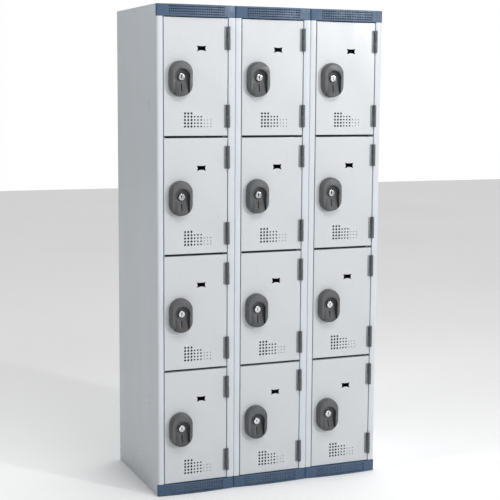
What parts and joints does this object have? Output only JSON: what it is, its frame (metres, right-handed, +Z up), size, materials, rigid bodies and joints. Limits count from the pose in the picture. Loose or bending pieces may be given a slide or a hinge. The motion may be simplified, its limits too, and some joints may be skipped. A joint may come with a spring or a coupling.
{
  "type": "coin operated locker",
  "caption": "Tall steel locker block with stacked hinged doors, an oval coin lock on each door and blue perforated trims at the top and bottom.",
  "frame": {"origin": "centre of the whole block in plan, locks included, at floor level", "axes": "+Z up, -Y out of the doors, +X to the right of someone facing the doors"},
  "size_m": [0.9, 0.528, 1.8],
  "materials": {
    "panel_paint": "satin light grey",
    "door_paint": "semi-gloss pale grey",
    "trim_plastic": "satin slate blue",
    "hood_plastic": "satin dark grey",
    "lock_metal": "polished"
  },
  "bodies": {
    "carcass": {"left_side_panel": "panel_paint", "right_side_panel": "panel_paint", "partition_1": "panel_paint", "partition_2": "panel_paint", "back_panel": "panel_paint", "top_panel": "panel_paint", "base_panel": "panel_paint", "shelf_1_1": "panel_paint", "shelf_1_2": "panel_paint", "shelf_1_3": "panel_paint", "shelf_2_1": "panel_paint", "shelf_2_2": "panel_paint", "shelf_2_3": "panel_paint", "shelf_3_1": "panel_paint", "shelf_3_2": "panel_paint", "shelf_3_3": "panel_paint", "top_trim_1": "trim_plastic", "top_trim_2": "trim_plastic", "top_trim_3": "trim_plastic", "bottom_plinth_1": "trim_plastic", "bottom_plinth_2": "trim_plastic", "bottom_plinth_3": "trim_plastic"},
    "door_1_1": {"door_1_1": "door_paint", "lock_case_1_1": "hood_plastic"},
    "lock_1_1": {"lock_cylinder_1_1": "lock_metal"},
    "door_1_2": {"door_1_2": "door_paint", "lock_case_1_2": "hood_plastic"},
    "lock_1_2": {"lock_cylinder_1_2": "lock_metal"},
    "door_1_3": {"door_1_3": "door_paint", "lock_case_1_3": "hood_plastic"},
    "lock_1_3": {"lock_cylinder_1_3": "lock_metal"},
    "door_1_4": {"door_1_4": "door_paint", "lock_case_1_4": "hood_plastic"},
    "lock_1_4": {"lock_cylinder_1_4": "lock_metal"},
    "door_2_1": {"door_2_1": "door_paint", "lock_case_2_1": "hood_plastic"},
    "lock_2_1": {"lock_cylinder_2_1": "lock_metal"},
    "door_2_2": {"door_2_2": "door_paint", "lock_case_2_2": "hood_plastic"},
    "lock_2_2": {"lock_cylinder_2_2": "lock_metal"},
    "door_2_3": {"door_2_3": "door_paint", "lock_case_2_3": "hood_plastic"},
    "lock_2_3": {"lock_cylinder_2_3": "lock_metal"},
    "door_2_4": {"door_2_4": "door_paint", "lock_case_2_4": "hood_plastic"},
    "lock_2_4": {"lock_cylinder_2_4": "lock_metal"},
    "door_3_1": {"door_3_1": "door_paint", "lock_case_3_1": "hood_plastic"},
    "lock_3_1": {"lock_cylinder_3_1": "lock_metal"},
    "door_3_2": {"door_3_2": "door_paint", "lock_case_3_2": "hood_plastic"},
    "lock_3_2": {"lock_cylinder_3_2": "lock_metal"},
    "door_3_3": {"door_3_3": "door_paint", "lock_case_3_3": "hood_plastic"},
    "lock_3_3": {"lock_cylinder_3_3": "lock_metal"},
    "door_3_4": {"door_3_4": "door_paint", "lock_case_3_4": "hood_plastic"},
    "lock_3_4": {"lock_cylinder_3_4": "lock_metal"}
  },
  "joints": [
    {"name": "door_hinge_1_1", "type": "hinge", "parent": "carcass", "child": "door_1_1", "pos_m": [-0.1792, -0.2424, 1.5438], "axis": [0, 0, 1], "range_deg": [0, 110]},
    {"name": "lock_turn_1_1", "type": "hinge", "parent": "door_1_1", "child": "lock_1_1", "pos_m": [-0.363, -0.256, 1.5438], "axis": [0, 1, 0], "range_deg": [0, 90]},
    {"name": "door_hinge_1_2", "type": "hinge", "parent": "carcass", "child": "door_1_2", "pos_m": [-0.1792, -0.2424, 1.1146], "axis": [0, 0, 1], "range_deg": [0, 110]},
    {"name": "lock_turn_1_2", "type": "hinge", "parent": "door_1_2", "child": "lock_1_2", "pos_m": [-0.363, -0.256, 1.1146], "axis": [0, 1, 0], "range_deg": [0, 90]},
    {"name": "door_hinge_1_3", "type": "hinge", "parent": "carcass", "child": "door_1_3", "pos_m": [-0.1792, -0.2424, 0.6854], "axis": [0, 0, 1], "range_deg": [0, 110]},
    {"name": "lock_turn_1_3", "type": "hinge", "parent": "door_1_3", "child": "lock_1_3", "pos_m": [-0.363, -0.256, 0.6854], "axis": [0, 1, 0], "range_deg": [0, 90]},
    {"name": "door_hinge_1_4", "type": "hinge", "parent": "carcass", "child": "door_1_4", "pos_m": [-0.1792, -0.2424, 0.2562], "axis": [0, 0, 1], "range_deg": [0, 110]},
    {"name": "lock_turn_1_4", "type": "hinge", "parent": "door_1_4", "child": "lock_1_4", "pos_m": [-0.363, -0.256, 0.2562], "axis": [0, 1, 0], "range_deg": [0, 90]},
    {"name": "door_hinge_2_1", "type": "hinge", "parent": "carcass", "child": "door_2_1", "pos_m": [0.1208, -0.2424, 1.5438], "axis": [0, 0, 1], "range_deg": [0, 110]},
    {"name": "lock_turn_2_1", "type": "hinge", "parent": "door_2_1", "child": "lock_2_1", "pos_m": [-0.063, -0.256, 1.5438], "axis": [0, 1, 0], "range_deg": [0, 90]},
    {"name": "door_hinge_2_2", "type": "hinge", "parent": "carcass", "child": "door_2_2", "pos_m": [0.1208, -0.2424, 1.1146], "axis": [0, 0, 1], "range_deg": [0, 110]},
    {"name": "lock_turn_2_2", "type": "hinge", "parent": "door_2_2", "child": "lock_2_2", "pos_m": [-0.063, -0.256, 1.1146], "axis": [0, 1, 0], "range_deg": [0, 90]},
    {"name": "door_hinge_2_3", "type": "hinge", "parent": "carcass", "child": "door_2_3", "pos_m": [0.1208, -0.2424, 0.6854], "axis": [0, 0, 1], "range_deg": [0, 110]},
    {"name": "lock_turn_2_3", "type": "hinge", "parent": "door_2_3", "child": "lock_2_3", "pos_m": [-0.063, -0.256, 0.6854], "axis": [0, 1, 0], "range_deg": [0, 90]},
    {"name": "door_hinge_2_4", "type": "hinge", "parent": "carcass", "child": "door_2_4", "pos_m": [0.1208, -0.2424, 0.2562], "axis": [0, 0, 1], "range_deg": [0, 110]},
    {"name": "lock_turn_2_4", "type": "hinge", "parent": "door_2_4", "child": "lock_2_4", "pos_m": [-0.063, -0.256, 0.2562], "axis": [0, 1, 0], "range_deg": [0, 90]},
    {"name": "door_hinge_3_1", "type": "hinge", "parent": "carcass", "child": "door_3_1", "pos_m": [0.4208, -0.2424, 1.5438], "axis": [0, 0, 1], "range_deg": [0, 110]},
    {"name": "lock_turn_3_1", "type": "hinge", "parent": "door_3_1", "child": "lock_3_1", "pos_m": [0.237, -0.256, 1.5438], "axis": [0, 1, 0], "range_deg": [0, 90]},
    {"name": "door_hinge_3_2", "type": "hinge", "parent": "carcass", "child": "door_3_2", "pos_m": [0.4208, -0.2424, 1.1146], "axis": [0, 0, 1], "range_deg": [0, 110]},
    {"name": "lock_turn_3_2", "type": "hinge", "parent": "door_3_2", "child": "lock_3_2", "pos_m": [0.237, -0.256, 1.1146], "axis": [0, 1, 0], "range_deg": [0, 90]},
    {"name": "door_hinge_3_3", "type": "hinge", "parent": "carcass", "child": "door_3_3", "pos_m": [0.4208, -0.2424, 0.6854], "axis": [0, 0, 1], "range_deg": [0, 110]},
    {"name": "lock_turn_3_3", "type": "hinge", "parent": "door_3_3", "child": "lock_3_3", "pos_m": [0.237, -0.256, 0.6854], "axis": [0, 1, 0], "range_deg": [0, 90]},
    {"name": "door_hinge_3_4", "type": "hinge", "parent": "carcass", "child": "door_3_4", "pos_m": [0.4208, -0.2424, 0.2562], "axis": [0, 0, 1], "range_deg": [0, 110]},
    {"name": "lock_turn_3_4", "type": "hinge", "parent": "door_3_4", "child": "lock_3_4", "pos_m": [0.237, -0.256, 0.2562], "axis": [0, 1, 0], "range_deg": [0, 90]}
  ]
}
